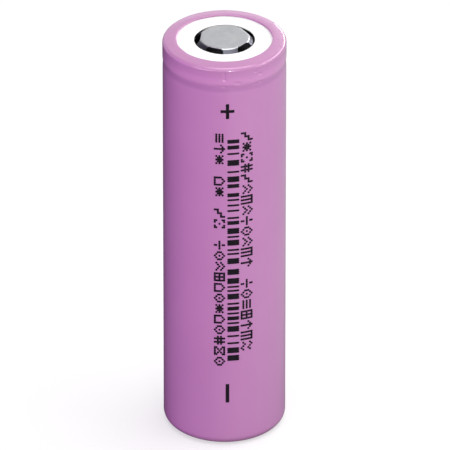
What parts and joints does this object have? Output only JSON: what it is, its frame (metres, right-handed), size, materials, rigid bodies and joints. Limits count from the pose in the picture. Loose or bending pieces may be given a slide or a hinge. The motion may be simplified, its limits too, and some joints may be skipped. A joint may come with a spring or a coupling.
{
  "type": "cylindrical battery cell",
  "caption": "Cylindrical lithium-ion cell with a pink-purple shrink sleeve, flat positive terminal, crimped steel can, wound electrodes and pressure vent.",
  "frame": {"origin": "centre of the negative end, where the cell stands", "axes": "+Z along the cell's axis towards the positive terminal, -Y towards the printed front"},
  "size_m": [0.0184, 0.0184, 0.065],
  "materials": {
    "sleeve_film": "glossy PVC shrink film, pink-purple",
    "fibre_white": "white pressed-fibre washer",
    "can_nickel": "drawn steel, nickel plated",
    "terminal_nickel": "stamped steel, satin nickel plating",
    "gasket_polymer": "translucent polypropylene",
    "ptc_laminate": "carbon-filled polymer laminate",
    "vent_aluminium": "soft aluminium sheet",
    "cid_polymer": "white moulded polymer",
    "tab_aluminium": "aluminium strip",
    "tab_nickel": "nickel strip",
    "polyimide_tape": "amber polyimide tape",
    "glass_fibre_board": "glass-fibre insulating disc",
    "cathode_coating": "black oxide coating on aluminium foil",
    "anode_coating": "graphite coating on copper foil",
    "separator_film": "microporous polyolefin film",
    "pin_steel": "rolled stainless strip"
  },
  "bodies": {
    "cell": {"shrink_sleeve": "sleeve_film", "top_insulator_ring": "fibre_white", "can": "can_nickel", "crimp_gasket": "gasket_polymer", "terminal_cap": "terminal_nickel", "ptc_ring": "ptc_laminate", "vent_disc": "vent_aluminium", "cid_insulator": "cid_polymer", "contact_plate": "vent_aluminium", "positive_tab": "tab_aluminium", "positive_tab_tape": "polyimide_tape", "upper_insulator": "glass_fibre_board", "cathode": "cathode_coating", "inner_separator": "separator_film", "anode": "anode_coating", "outer_separator": "separator_film", "winding_tape": "polyimide_tape", "centre_pin": "pin_steel", "lower_insulator": "glass_fibre_board", "negative_tab": "tab_nickel", "negative_tab_tape": "polyimide_tape"},
    "vent": {"vent_dome": "vent_aluminium"}
  },
  "joints": [
    {"name": "vent_snap", "type": "slide", "parent": "cell", "child": "vent", "axis": [0, 0, 1], "range_m": [0, 0.0006]}
  ]
}
